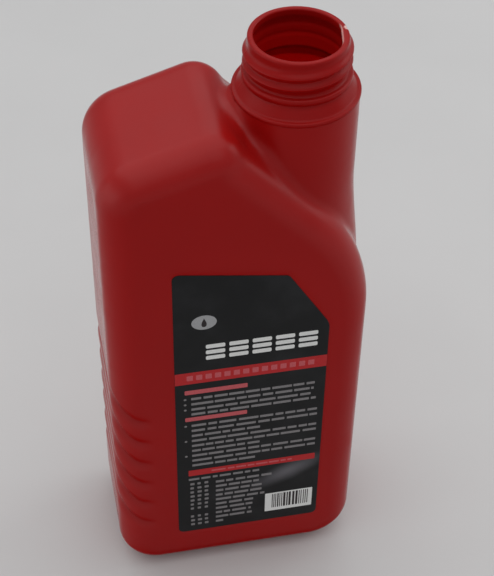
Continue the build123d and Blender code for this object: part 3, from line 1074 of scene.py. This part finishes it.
class Ink(Enum):
    """Printing inks of the label, with colour and how unevenly they lie."""

    RED = ("ink_red", (0.53, 0.018, 0.021, 1), 0.20)
    ROSE = ("ink_rose", (0.64, 0.115, 0.13, 1), 0.35)
    WHITE = ("ink_white", (0.86, 0.86, 0.84, 1), 0.18)
    GREY = ("ink_grey", (0.26, 0.245, 0.25, 1), 0.45)
    SMOKE = ("ink_smoke", (0.42, 0.42, 0.43, 1), 0.25)
    DARK = ("ink_dark", (0.030, 0.022, 0.024, 1), 0.25)

    def make(self) -> bpy.types.Material:
        """Build the ink's material.

        Returns:
            The material.
        """
        name, colour, mottle = self.value
        finish = InkFinish()
        bench = NodeBench(name)
        thin = tuple(finish.thin * part for part in colour[:3]) + (1,)
        cover = bench.spread(bench.noise(finish.mottle_scale, 3), *finish.mottle_range, 0, mottle)
        rough = bench.spread(bench.noise(finish.rough_scale, 3), *MIDDLING, *finish.rough)
        normal = bench.bump(bench.noise(LabelFilm.grain_scale, 2), LabelFilm.grain_depth)
        bench.join(Base_Color=bench.blend(cover, colour, thin), Roughness=rough, Normal=normal)
        bench.join(IOR=LabelFilm.refraction, Specular_IOR_Level=finish.gloss)
        return bench.material


@dataclass
class BlownCan:
    """The can itself: its outer skin, its inner skin and its screw neck."""

    form: CanForm
    neck: NeckForm = field(default_factory=NeckForm)
    cell: float = 1.02
    inner_cell: float = 2.4
    neck_cell: float = 0.42
    open_height: float = 229.6      # the skins end here, inside the neck's ring
    base_room: float = 1.5          # how far the grid reaches past the can's base
    side_room: float = 1.0          # how far it reaches past the can's sides
    neck_room: Spot = (1.0, 0.8, 0.9)       # how far the neck's grid reaches past its sides, foot and lip
    chip_sink: float = 0.2

    def grid(self, cell: float) -> tuple[list[float], list[float]]:
        """Grid for one skin, whose last row of points lies at the open height."""
        rows = math.ceil((self.open_height + self.base_room) / cell)
        top = self.open_height + cell / 2
        sides = (self.form.half_width, self.form.half_depth)
        half = [math.ceil((side + self.side_room) / cell) * cell for side in sides]
        return [-half[0], -half[1], top - rows * cell], [half[0], half[1], top]

    def body(self) -> Piece:
        """Mesh the outer and the inner skin of the body and the tower.

        Returns:
            The piece.
        """
        outer, outer_faces = skin(self.form.outside, *self.grid(self.cell), self.cell)
        inner, inner_faces = skin(self.form.inside, *self.grid(self.inner_cell), self.inner_cell)
        points = np.concatenate([outer, inner])
        faces = np.concatenate([outer_faces, inner_faces + len(outer)])
        piece = make_piece("can_body", points, faces, True)
        # The inner skin's colour is a painted glow, brighter for the light that comes through the thin
        # walls.
        inside = BlownPlastic(
            "can_plastic_inside", inner=(0.68, 0.005, 0.003, 1), glow=(0.85, 0.003), lit_through=True
        )
        piece.data.materials.append(BlownPlastic("can_plastic_red").make())
        piece.data.materials.append(inside.make())
        slots = [0] * len(outer_faces) + [1] * len(inner_faces)
        piece.data.polygons.foreach_set("material_index", slots)
        # groove depth per point, which the material uses for its painted groove shade
        depth = np.zeros(len(points))
        depth[:len(outer)] = self.form.grip(*outer.T) / self.form.grip_depth
        piece.data.attributes.new(GROOVE, "FLOAT", "POINT").data.foreach_set("value", depth)
        return piece

    def finish(self) -> Piece:
        """Mesh the screw neck, with its ring, bead, thread and lip.

        Returns:
            The piece.
        """
        beside, below, above = self.neck_room
        reach = self.neck.ring_radius + beside
        low = (self.neck.neck_x - reach, -reach, self.neck.ring_low - below)
        high = (self.neck.neck_x + reach, reach, self.neck.height + above)
        return make_piece("screw_neck", *skin(self.neck.outside, low, high, self.neck_cell), True)

    def build(self) -> list[Piece]:
        """Build and dress both pieces.

        Returns:
            The body and the neck.
        """
        body, neck = self.body(), self.finish()
        heading = math.radians(self.neck.nick_angle)
        spot = (
            self.neck.neck_x + self.neck.lip_radius * math.cos(heading),
            self.neck.lip_radius * math.sin(heading),
            self.neck.height - self.chip_sink,
        )
        # The neck's colours are darker than the body's: painted shade for the shade that falls on the neck.
        plastic = BlownPlastic(
            "neck_plastic_red",
            colour=(0.31, 0.003, 0.0026, 1),
            pale=(0.34, 0.0045, 0.004, 1),
            chip_spot=spot,
            seam_depth=0.00005,
            gloss=0.12,
            upper_gloss=1.4,
        )
        neck.data.materials.append(plastic.make())
        for piece in (body, neck):
            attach(piece, "root")
            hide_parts("bottle")
        return [body, neck]


@dataclass
class Slab:
    """Thin layer of ink with any outline."""

    points: list[Point]

    @staticmethod
    def bar(left: float, right: float, low: float, high: float, edge: float = 0.25) -> "Slab":
        """Straight bar with broken corners.

        Args:
            left: its left end.
            right: its right end.
            low: its lower side.
            high: its upper side.
            edge: size of the broken corners.

        Returns:
            The bar.
        """
        cut = min(edge, (right - left) / 3, (high - low) / 3)
        return Slab([
            (left + cut, low), (right - cut, low), (right, low + cut), (right, high - cut),
            (right - cut, high), (left + cut, high), (left, high - cut), (left, low + cut),
        ])

    @staticmethod
    def oval(x: float, z: float, half_x: float, half_z: float) -> "Slab":
        """Oval about a place."""
        steps = 48
        turns = [2 * math.pi * k / steps for k in range(steps)]
        return Slab([(x + half_x * math.cos(t), z + half_z * math.sin(t)) for t in turns])

    @staticmethod
    def drop(x: float, z: float, size: float) -> "Slab":
        """Plain drop with its point up.

        Args:
            x: place of its middle along X.
            z: place of its middle along Z.
            size: half its height.

        Returns:
            The drop.
        """
        steps, width, sharpness = 40, 0.62, 1.4
        points = []
        for k in range(steps):
            t = 2 * math.pi * k / steps
            narrow = math.sin(t / 2) ** sharpness
            points.append((x + size * width * math.sin(t) * narrow, z + size * math.cos(t)))
        return Slab(points[::-1])


@dataclass
class FilmLabel:
    """Black film label on the front, printed with plain bars, blocks and stripes."""

    left: float = -26.3
    right: float = 34.0
    bottom: float = 22.0
    top: float = 175.2
    top_fall: float = 9.6
    cut_x: float = 17.3
    cut_height: float = 140.0
    corner: float = 2.5
    cut_round: float = 9.0
    round_steps: int = 10
    face_y: float = -30.47
    thick: float = 0.13
    ink_thick: float = 0.01
    ink_rise: float = 0.006
    bar_edge: float = 0.2           # broken corners of the plain bars
    word_edge: float = 0.15
    word_least: float = 0.8         # no word starts nearer to the end of its line
    word_share: Point = (0.35, 1.0)         # a word's length as a share of the longest
    word_gap: Point = (0.5, 1.1)
    emblem_place: Point = (-14.6, 149.1)
    emblem_half: Point = (4.8, 3.7)
    drop_sink: float = 0.1
    drop_size: float = 2.3
    title_left: float = -14.0
    title_step: float = 9.05
    title_count: int = 5
    title_block: Point = (7.5, 2.1)
    title_edge: float = 0.4
    title_rows: tuple[float, ...] = (128.6, 131.7, 134.8)
    band_rows: Point = (116.0, 122.5)
    band_margin: float = 0.05
    band_edge: float = 0.02
    mark_box: Box = (-21.6, 30.2, 117.9, 120.7)
    mark_count: int = 14
    mark_share: float = 0.66        # share of its step that a mark fills
    headings: tuple[Box, ...] = ((-22.5, 2.5, 109.9, 112.3), (-22.5, 2.5, 94.0, 96.3))
    line_left: float = -20.0
    line_step: float = 3.13
    line_thick: float = 1.35
    bullet_x: float = -22.4
    bullet_half: float = 0.55
    first_lines: tuple[float, ...] = (107.2, 104.1, 101.0, 98.1)
    first_right: float = 31.0
    first_ragged: float = 4.0       # how much shorter a line may be
    second_lines: float = 91.2
    second_count: int = 9
    second_right: float = 31.5
    paragraph: int = 3              # lines of a paragraph, of which the last one is short
    paragraph_end: float = 8.0
    strip_box: Box = (-21.6, 31.8, 59.4, 63.0)
    strip_words: Box = (-12.0, 22.0, 60.7, 61.7)
    foot_words: Box = (-21.6, 10.0, 56.4, 57.7)
    column_places: Spot = (-21.0, -18.0, -15.0)
    column_count: int = 11
    column_skip: int = 7            # row that the three narrow columns leave out
    column_step: float = 2.75
    column_top: Point = (53.2, 54.6)
    column_width: Point = (1.3, 1.8)
    foot_left: float = -10.2
    foot_step: float = 3.0
    foot_top: Point = (52.6, 54.0)
    foot_rows: tuple[float, ...] = (15.0, 9.0, 9.5, 9.5, 10.8, 6.0, 7.0, 5.0, 5.5, -7.0)
    panel_box: Box = (11.2, 31.8, 27.8, 40.0)
    stripe_box: Box = (14.2, 30.4, 29.8, 39.2)
    stripe_edge: float = 0.05
    stripe_widths: Spot = (0.4, 0.6, 0.95)
    stripe_gaps: Spot = (0.35, 0.45, 0.65)
    seed: int = 7

    def __post_init__(self) -> None:
        """Set out the film's outline."""
        fallen = self.top - (self.cut_x - self.left) * math.tan(math.radians(self.top_fall))
        self.outline = Outline((
            (self.left, self.bottom, self.corner),
            (self.right, self.bottom, self.corner),
            (self.right, self.cut_height, self.cut_round),
            (self.cut_x, fallen, self.corner),
            (self.left, self.top, self.corner),
        ))
        self.draw = random.Random(self.seed)

    def layer(self, name: str, shapes: Sequence[Sequence[Point]], face: float, thick: float) -> Piece:
        """Closed flat layer made of one or more outlines.

        Args:
            name: name of the piece.
            shapes: outlines, anticlockwise as seen from the front.
            face: place of its outer face on Y.
            thick: its thickness.

        Returns:
            The piece.
        """
        points: list[Spot] = []
        faces: list[list[int]] = []
        for shape in shapes:
            start, count = len(points), len(shape)
            for place in (face, face + thick):
                points += [(x, place, z) for x, z in shape]
            faces.append([start + k for k in range(count)])
            faces.append([start + count + k for k in reversed(range(count))])
            for k in range(count):
                after = (k + 1) % count
                faces.append([start + k, start + count + k, start + count + after, start + after])
        return make_piece(name, points, faces, False)

    def words(self, left: float, right: float, low: float, high: float, longest: float = 9.0) -> list[Slab]:
        """Small bars of unequal length, one after the other.

        Args:
            left: start of the line.
            right: end of the line.
            low: its lower side.
            high: its upper side.
            longest: length of the longest bar.

        Returns:
            The bars.
        """
        bars, at = [], left
        while at < right - self.word_least:
            end = min(at + self.draw.uniform(*self.word_share) * longest, right)
            bars.append(Slab.bar(at, end, low, high, self.word_edge))
            at = end + self.draw.uniform(*self.word_gap)
        return bars

    def marks(self) -> list[Slab]:
        """Even row of small upright marks on the band."""
        left, right, low, high = self.mark_box
        step = (right - left) / self.mark_count
        places = [(left + k * step, left + (k + self.mark_share) * step) for k in range(self.mark_count)]
        return [Slab.bar(start, end, low, high, self.bar_edge) for start, end in places]

    def emblem(self) -> dict[Ink, list[Slab]]:
        """Plain oval with a drop in it."""
        x, z = self.emblem_place
        drop = Slab.drop(x, z - self.drop_sink, self.drop_size)
        return {Ink.SMOKE: [Slab.oval(x, z, *self.emblem_half)], Ink.DARK: [drop]}

    def title(self) -> dict[Ink, list[Slab]]:
        """Row of blocks, each of three plain bars, and the band under them."""
        blocks: list[Slab] = []
        wide, high = self.title_block
        for k in range(self.title_count):
            left = self.title_left + self.title_step * k
            for low in self.title_rows:
                blocks.append(Slab.bar(left, left + wide, low, low + high, self.title_edge))
        sides = (self.left + self.band_margin, self.right - self.band_margin)
        band = [Slab.bar(*sides, *self.band_rows, self.band_edge)]
        return {Ink.WHITE: blocks, Ink.RED: band, Ink.ROSE: self.marks()}

    def reading(self) -> dict[Ink, list[Slab]]:
        """Two heading bars and the rows of small bars under each."""
        lines: list[Slab] = []
        for z in self.first_lines:
            right = self.first_right - self.draw.uniform(0, self.first_ragged)
            lines += self.text_line(z, z != self.first_lines[-1], right)
        for row in range(self.second_count):
            z, place = self.second_lines - row * self.line_step, row % self.paragraph
            right = self.paragraph_end if place == self.paragraph - 1 else self.second_right
            lines += self.text_line(z, place == 0, right)
        return {Ink.GREY: lines, Ink.ROSE: [Slab.bar(*heading) for heading in self.headings]}

    def text_line(self, z: float, bullet: bool, right: float) -> list[Slab]:
        """One row of small bars, with a round point before it where it starts a paragraph."""
        half = self.line_thick / 2
        bars = self.words(self.line_left, right, z - half, z + half)
        if bullet:
            bars.append(Slab.oval(self.bullet_x, z, self.bullet_half, self.bullet_half))
        return bars

    def foot(self) -> dict[Ink, list[Slab]]:
        """Strip, narrow columns, a block of small bars and the striped panel at the foot."""
        grey = self.words(*self.foot_words, longest=5.0)
        low, high = self.column_top
        for x in self.column_places:
            for k in range(self.column_count):
                if k != self.column_skip:
                    down, wide = self.column_step * k, self.draw.uniform(*self.column_width)
                    grey.append(Slab.bar(x, x + wide, low - down, high - down, self.bar_edge))
        low, high = self.foot_top
        for row, right in enumerate(self.foot_rows):
            down = self.foot_step * row
            grey += self.words(self.foot_left, right, low - down, high - down, longest=7.0)
        strip = [Slab.bar(*self.strip_box, self.bar_edge)]
        pale = self.words(*self.strip_words, longest=6.0)
        panel = [Slab.bar(*self.panel_box, self.bar_edge)]
        stripes = []
        at, end, low, high = self.stripe_box
        while at < end:
            wide = self.draw.choice(self.stripe_widths)
            stripes.append(Slab.bar(at, at + wide, low, high, self.stripe_edge))
            at += wide + self.draw.choice(self.stripe_gaps)
        return {Ink.GREY: grey, Ink.RED: strip, Ink.ROSE: pale, Ink.WHITE: panel, Ink.DARK: stripes}

    def build(self) -> list[Piece]:
        """Build the film and one piece for each ink.

        Returns:
            The film, then the inks.
        """
        shape = self.outline.trace(self.round_steps)
        film = self.layer("label_film", [shape], self.face_y, self.thick)
        film.data.materials.append(LabelFilm().make())
        inks: dict[Ink, list[Slab]] = {ink: [] for ink in Ink}
        for part in (self.emblem(), self.title(), self.reading(), self.foot()):
            for ink, slabs in part.items():
                inks[ink] += slabs
        pieces = [film]
        over = {Ink.ROSE: 1, Ink.DARK: 1}
        for ink, slabs in inks.items():
            face = self.face_y - self.ink_thick - self.ink_rise * over.get(ink, 0)
            shapes = [slab.points for slab in slabs]
            piece = self.layer("print_" + ink.name.lower(), shapes, face, self.ink_thick)
            piece.data.materials.append(ink.make())
            pieces.append(piece)
        for piece in pieces:
            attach(piece, "root")
            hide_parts("label")
        return pieces


@dataclass(frozen=True)
class Lamp:
    """Soft rectangular light: its place, what it faces, its sides in metres, its power in watts."""

    name: str
    place: Spot
    target: Spot
    size: Point
    power: float

    def hang(self) -> None:
        """Add the light to the scene, unseen by the camera itself."""
        data = bpy.data.lights.new(self.name, "AREA")
        data.shape, data.energy = "RECTANGLE", self.power
        data.size, data.size_y = self.size
        lamp = bpy.data.objects.new(self.name, data)
        lamp.location = self.place
        lamp.visible_camera = False
        lamp.rotation_mode = "QUATERNION"
        ahead = Vector(self.target) - Vector(self.place)
        lamp.rotation_quaternion = ahead.to_track_quat("-Z", "Y")
        bpy.context.scene.collection.objects.link(lamp)


@dataclass
class Studio:
    """Pale floor, soft light from above and the camera at the photograph's angle."""

    floor_size: float = 6.0
    floor_parts: int = 24
    floor_colour: Colour = (0.63, 0.626, 0.622, 1)
    floor_rough: float = 0.55
    cloud_scale: float = 9
    cloud_share: float = 0.5
    cloud_dark: float = 0.95        # share of the floor's colour where its clouds are darkest
    grain_scale: float = 700
    grain_depth: float = 0.00003
    air_colour: Colour = (0.80, 0.81, 0.83, 1)
    air_strength: float = 0.38
    lamps: tuple[Lamp, ...] = (
        Lamp("ceiling_light", (-0.1, 0.45, 1.6), (0.0, 0.08, 0.1), (2.8, 2.6), 20.5),
        Lamp("front_window", (0.1, -1.1, 1.45), (0.0, 0.0, 0.1), (1.8, 0.9), 3.2),
        Lamp("left_card", (-1.3, -0.2, 0.30), (0.0, 0.0, 0.12), (1.6, 0.7), 3),
        Lamp("right_window", (1.4, 0.3, 0.8), (0.0, 0.0, 0.15), (1.0, 1.0), 5),
    )
    camera_place: Spot = (-0.078922, -0.407343, 0.539206)
    yaw: float = 11.763
    pitch: float = 44.247
    roll: float = -0.953
    lens: float = 91.73
    sensor: float = 36.0
    shift: Point = (0.00888, 0.00111)
    clip: Point = (0.01, 50.0)

    def floor(self) -> None:
        """Large pale floor with a faint grain."""
        half = self.floor_size / MM / 2
        places = np.linspace(-half, half, self.floor_parts + 1)
        points = [(x, y, 0.0) for y in places for x in places]
        row = self.floor_parts + 1
        starts = [j * row + i for j in range(self.floor_parts) for i in range(self.floor_parts)]
        faces = [(k, k + 1, k + row + 1, k + row) for k in starts]
        piece = make_piece("floor", points, faces, False)
        bench = NodeBench("floor_board")
        clouds = bench.spread(bench.noise(self.cloud_scale, 3), *MIDDLING, 0, self.cloud_share)
        darker = tuple(self.cloud_dark * part for part in self.floor_colour[:3]) + (1,)
        normal = bench.bump(bench.noise(self.grain_scale, 2), self.grain_depth)
        colour = bench.blend(clouds, self.floor_colour, darker)
        bench.join(Base_Color=colour, Roughness=self.floor_rough, Normal=normal)
        piece.data.materials.append(bench.material)
        piece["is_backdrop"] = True

    def lights(self) -> None:
        """Even surroundings and the lamps."""
        world = bpy.data.worlds.new("studio_air")
        bpy.context.scene.world = world
        world.use_nodes = True
        air = world.node_tree.nodes["Background"]
        air.inputs["Color"].default_value = self.air_colour
        air.inputs["Strength"].default_value = self.air_strength
        for lamp in self.lamps:
            lamp.hang()

    def camera(self) -> None:
        """Camera at the photograph's viewing angle."""
        yaw, pitch, roll = (math.radians(angle) for angle in (self.yaw, self.pitch, self.roll))
        flat = math.cos(pitch)
        ahead = Vector((math.sin(yaw) * flat, math.cos(yaw) * flat, -math.sin(pitch)))
        level = Vector((math.cos(yaw), -math.sin(yaw), 0))
        down = ahead.cross(level)
        right = level * math.cos(roll) + down * math.sin(roll)
        down = down * math.cos(roll) - level * math.sin(roll)
        data = bpy.data.cameras.new("camera")
        data.sensor_width, data.lens = self.sensor, self.lens
        data.shift_x, data.shift_y = self.shift
        data.clip_start, data.clip_end = self.clip
        camera = bpy.data.objects.new("camera", data)
        turned = Matrix((right, -down, -ahead)).transposed().to_4x4()
        camera.matrix_world = Matrix.Translation(self.camera_place) @ turned
        bpy.context.scene.collection.objects.link(camera)
        bpy.context.scene.camera = camera

    def build(self) -> None:
        """Set up floor, lights, camera and plain colour handling."""
        self.floor()
        self.lights()
        self.camera()
        bpy.context.scene.view_settings.view_transform = "Standard"


def corners() -> list[list[float]]:
    """Lowest and highest corner of what is shown, as plain numbers."""
    return [[float(part) for part in corner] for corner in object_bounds()]


def main() -> None:
    """Build the can, its label and the studio, and log the face count of each piece."""
    logging.basicConfig(level=logging.INFO, format="%(message)s")
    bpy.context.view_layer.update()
    label = FilmLabel()
    can = BlownCan(CanForm(label=label.outline))
    for piece in can.build() + label.build():
        LOG.info("%s: %d faces", piece.name, len(piece.data.polygons))
    Studio().build()


if __name__ == "__main__":
    main()
